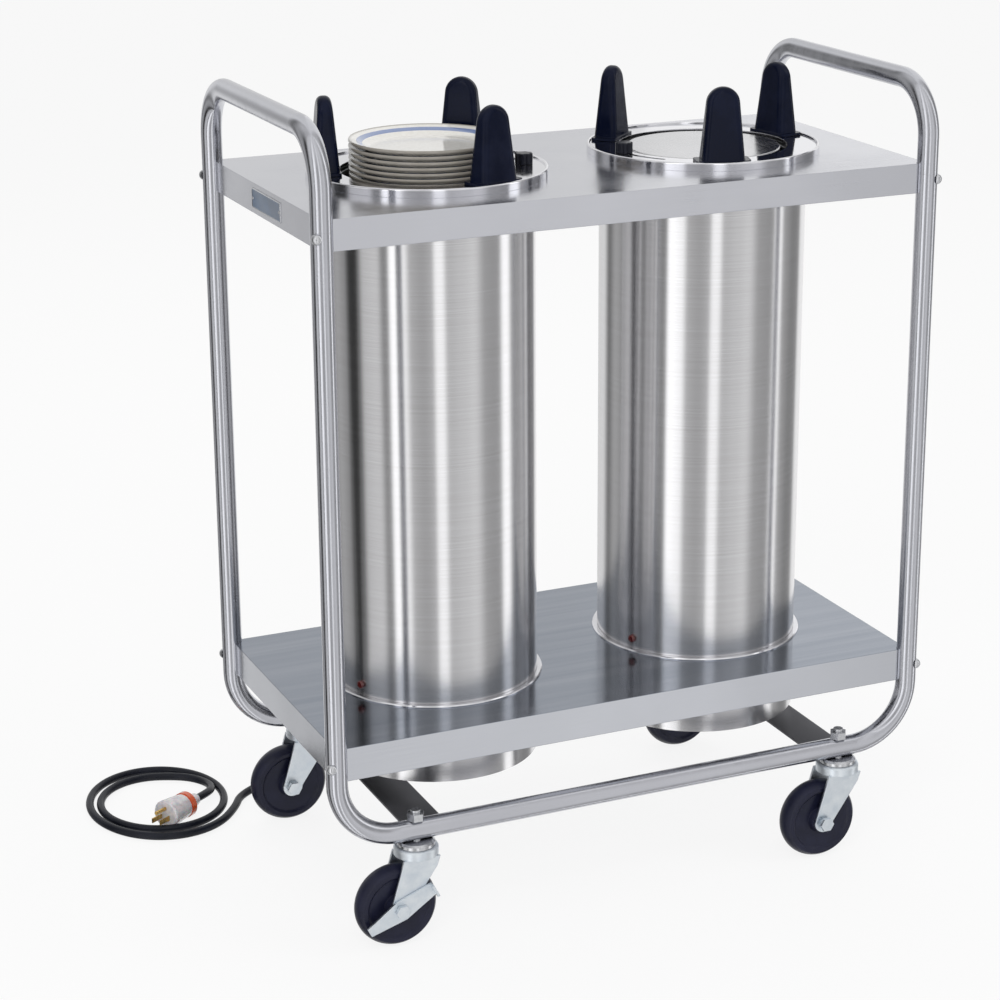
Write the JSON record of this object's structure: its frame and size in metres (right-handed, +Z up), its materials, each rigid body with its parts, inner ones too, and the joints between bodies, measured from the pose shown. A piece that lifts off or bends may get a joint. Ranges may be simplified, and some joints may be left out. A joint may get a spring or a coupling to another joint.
{
  "type": "heated plate dispenser",
  "caption": "Mobile heated plate dispenser: self-levelling silos with adjustable guide posts in an open tube trolley on swivel casters, with a coiled supply cord.",
  "frame": {"origin": "on the floor, at the centre of the trolley's footprint", "axes": "+X along the trolley to the right, +Y to the rear, where the controls and the cord are, +Z up"},
  "size_m": [0.9611, 0.6339, 0.99],
  "materials": {
    "polished_tube": "polished stainless tube",
    "deck_sheet": "satin stainless sheet",
    "brace_steel": "mill stainless",
    "fastener": "bright",
    "silo_sheet": "brushed, polished lengthways",
    "polished_collar": "mirror polished",
    "inner_steel": "aluminised",
    "insulation": "glass fibre blanket",
    "spring_steel": "bright wire",
    "carrier_steel": "satin",
    "china": "glazed cream china with a blue band",
    "post_plastic": "moulded, dark navy",
    "knob_plastic": "moulded, black",
    "element": "oxidised sheath",
    "box_steel": "satin",
    "thermostat_body": "moulded",
    "lamp_lens": "red lens",
    "conduit": "zinc plated",
    "zinc_fork": "bright zinc plated",
    "wheel": "hard rubber",
    "cord": "jacketed cord",
    "plug_shell": "clear moulding with an orange ring",
    "prong_brass": "bright"
  },
  "bodies": {
    "trolley": {"caster_stem_nuts": "fastener", "caster_stems": "fastener", "control_boxes": "box_steel", "cord_coil": "cord", "cord_gland": "knob_plastic", "cross_strips": "brace_steel", "deck_bolts": "fastener", "deck_corner_gussets": "brace_steel", "front_base_hoop": "polished_tube", "guide_rods": "carrier_steel", "heating_elements": "element", "left_collar": "polished_collar", "left_handle_hoop": "polished_tube", "left_silo_shell": "silo_sheet", "left_springs": "spring_steel", "lower_deck": "deck_sheet", "lower_trim_rings": "polished_collar", "pilot_lamps": "lamp_lens", "plug": "plug_shell", "plug_lead": "cord", "plug_prongs": "prong_brass", "rear_base_hoop": "polished_tube", "right_collar": "polished_collar", "right_handle_hoop": "polished_tube", "right_silo_shell": "silo_sheet", "right_springs": "spring_steel", "silo_base_pans": "inner_steel", "silo_insulation": "insulation", "silo_liners": "inner_steel", "spring_anchor_rings": "inner_steel", "supply_lead": "cord", "thermostats": "thermostat_body", "top_deck": "deck_sheet", "wiring_conduit": "conduit"},
    "left_carrier": {"left_carrier": "carrier_steel"},
    "right_carrier": {"right_carrier": "carrier_steel"},
    "plate_stack": {"plate_stack": "china"},
    "top_plate": {"top_plate": "china"},
    "left_adjuster_ring": {"left_adjuster_ring": "carrier_steel"},
    "left_guide_post_1": {"left_guide_post_1": "post_plastic"},
    "left_guide_post_2": {"left_guide_post_2": "post_plastic"},
    "left_guide_post_3": {"left_guide_post_3": "post_plastic"},
    "left_clamp_knob": {"left_clamp_knob": "knob_plastic"},
    "left_thermostat_knob": {"left_thermostat_knob": "knob_plastic"},
    "right_adjuster_ring": {"right_adjuster_ring": "carrier_steel"},
    "right_guide_post_1": {"right_guide_post_1": "post_plastic"},
    "right_guide_post_2": {"right_guide_post_2": "post_plastic"},
    "right_guide_post_3": {"right_guide_post_3": "post_plastic"},
    "right_clamp_knob": {"right_clamp_knob": "knob_plastic"},
    "right_thermostat_knob": {"right_thermostat_knob": "knob_plastic"},
    "front_left_swivel": {"front_left_fork": "zinc_fork"},
    "front_left_wheel": {"front_left_wheel": "wheel"},
    "front_right_swivel": {"front_right_fork": "zinc_fork"},
    "front_right_wheel": {"front_right_wheel": "wheel"},
    "rear_left_swivel": {"rear_left_fork": "zinc_fork"},
    "rear_left_wheel": {"rear_left_wheel": "wheel"},
    "rear_right_swivel": {"rear_right_fork": "zinc_fork"},
    "rear_right_wheel": {"rear_right_wheel": "wheel"},
    "front_left_brake": {"front_left_brake_lever": "zinc_fork"},
    "rear_right_brake": {"rear_right_brake_lever": "zinc_fork"}
  },
  "joints": [
    {"name": "left_carrier_slide", "type": "slide", "parent": "trolley", "child": "left_carrier", "axis": [0, 0, 1], "range_m": [-0.428, 0.052], "stiffness_N_per_m": 500, "springref_m": 0.116, "deforming": ["left_springs"]},
    {"name": "right_carrier_slide", "type": "slide", "parent": "trolley", "child": "right_carrier", "axis": [0, 0, 1], "range_m": [-0.48, 0], "stiffness_N_per_m": 500, "springref_m": 0.064, "deforming": ["right_springs"]},
    {"name": "plate_stack_lift", "type": "slide", "parent": "left_carrier", "child": "plate_stack", "axis": [0, 0, 1], "range_m": [0, 0.12]},
    {"name": "top_plate_lift", "type": "slide", "parent": "plate_stack", "child": "top_plate", "axis": [0, 0, 1], "range_m": [0, 0.15]},
    {"name": "left_ring_turn", "type": "hinge", "parent": "trolley", "child": "left_adjuster_ring", "pos_m": [-0.183, 0, 0.8865], "axis": [0, 0, 1], "range_deg": [0, 12]},
    {"name": "left_guide_post_1_slide", "type": "slide", "parent": "trolley", "child": "left_guide_post_1", "axis": [0.2924, -0.9563, 0], "range_m": [-0.009, 0]},
    {"name": "left_guide_post_2_slide", "type": "slide", "parent": "trolley", "child": "left_guide_post_2", "axis": [0.682, 0.7314, 0], "range_m": [-0.009, 0]},
    {"name": "left_guide_post_3_slide", "type": "slide", "parent": "trolley", "child": "left_guide_post_3", "axis": [-0.9744, 0.225, 0], "range_m": [-0.009, 0]},
    {"name": "left_clamp_turn", "type": "hinge", "parent": "left_adjuster_ring", "child": "left_clamp_knob", "pos_m": [-0.06997, -0.02609, 0.895], "axis": [0, 0, 1], "range_deg": [0, 360]},
    {"name": "left_thermostat_turn", "type": "hinge", "parent": "trolley", "child": "left_thermostat_knob", "pos_m": [-0.163, 0.168, 0.1915], "axis": [0, 1, 0], "range_deg": [0, 270]},
    {"name": "right_ring_turn", "type": "hinge", "parent": "trolley", "child": "right_adjuster_ring", "pos_m": [0.183, 0, 0.8865], "axis": [0, 0, 1], "range_deg": [0, 30]},
    {"name": "right_guide_post_1_slide", "type": "slide", "parent": "trolley", "child": "right_guide_post_1", "axis": [-0.2924, -0.9563, 0], "range_m": [-0.0221, 0]},
    {"name": "right_guide_post_2_slide", "type": "slide", "parent": "trolley", "child": "right_guide_post_2", "axis": [0.9744, 0.225, 0], "range_m": [-0.0221, 0]},
    {"name": "right_guide_post_3_slide", "type": "slide", "parent": "trolley", "child": "right_guide_post_3", "axis": [-0.682, 0.7314, 0], "range_m": [-0.0221, 0]},
    {"name": "right_clamp_turn", "type": "hinge", "parent": "right_adjuster_ring", "child": "right_clamp_knob", "pos_m": [0.06786, -0.01414, 0.895], "axis": [0, 0, 1], "range_deg": [0, 360]},
    {"name": "right_thermostat_turn", "type": "hinge", "parent": "trolley", "child": "right_thermostat_knob", "pos_m": [0.203, 0.168, 0.1915], "axis": [0, 1, 0], "range_deg": [0, 270]},
    {"name": "front_left_swivel_turn", "type": "hinge", "parent": "trolley", "child": "front_left_swivel", "pos_m": [-0.288, -0.1925, 0.12], "axis": [0, 0, 1], "continuous": true},
    {"name": "front_left_wheel_turn", "type": "hinge", "parent": "front_left_swivel", "child": "front_left_wheel", "pos_m": [-0.316, -0.1925, 0.0508], "axis": [0, 1, 0], "continuous": true},
    {"name": "front_right_swivel_turn", "type": "hinge", "parent": "trolley", "child": "front_right_swivel", "pos_m": [0.288, -0.1925, 0.12], "axis": [0, 0, 1], "continuous": true},
    {"name": "front_right_wheel_turn", "type": "hinge", "parent": "front_right_swivel", "child": "front_right_wheel", "pos_m": [0.26, -0.1925, 0.0508], "axis": [0, 1, 0], "continuous": true},
    {"name": "rear_left_swivel_turn", "type": "hinge", "parent": "trolley", "child": "rear_left_swivel", "pos_m": [-0.288, 0.1925, 0.12], "axis": [0, 0, 1], "continuous": true},
    {"name": "rear_left_wheel_turn", "type": "hinge", "parent": "rear_left_swivel", "child": "rear_left_wheel", "pos_m": [-0.316, 0.1925, 0.0508], "axis": [0, 1, 0], "continuous": true},
    {"name": "rear_right_swivel_turn", "type": "hinge", "parent": "trolley", "child": "rear_right_swivel", "pos_m": [0.288, 0.1925, 0.12], "axis": [0, 0, 1], "continuous": true},
    {"name": "rear_right_wheel_turn", "type": "hinge", "parent": "rear_right_swivel", "child": "rear_right_wheel", "pos_m": [0.26, 0.1925, 0.0508], "axis": [0, 1, 0], "continuous": true},
    {"name": "front_left_brake_turn", "type": "hinge", "parent": "front_left_swivel", "child": "front_left_brake", "pos_m": [-0.316, -0.1925, 0.0508], "axis": [0, 1, 0], "range_deg": [0, 15]},
    {"name": "rear_right_brake_turn", "type": "hinge", "parent": "rear_right_swivel", "child": "rear_right_brake", "pos_m": [0.26, 0.1925, 0.0508], "axis": [0, 1, 0], "range_deg": [0, 15]}
  ],
  "couplings": [
    {"joint": "left_guide_post_1_slide", "follows": "left_ring_turn", "m_per_rad": -0.042017},
    {"joint": "left_guide_post_2_slide", "follows": "left_ring_turn", "m_per_rad": -0.042017},
    {"joint": "left_guide_post_3_slide", "follows": "left_ring_turn", "m_per_rad": -0.042017},
    {"joint": "right_guide_post_1_slide", "follows": "right_ring_turn", "m_per_rad": -0.042017},
    {"joint": "right_guide_post_2_slide", "follows": "right_ring_turn", "m_per_rad": -0.042017},
    {"joint": "right_guide_post_3_slide", "follows": "right_ring_turn", "m_per_rad": -0.042017}
  ]
}
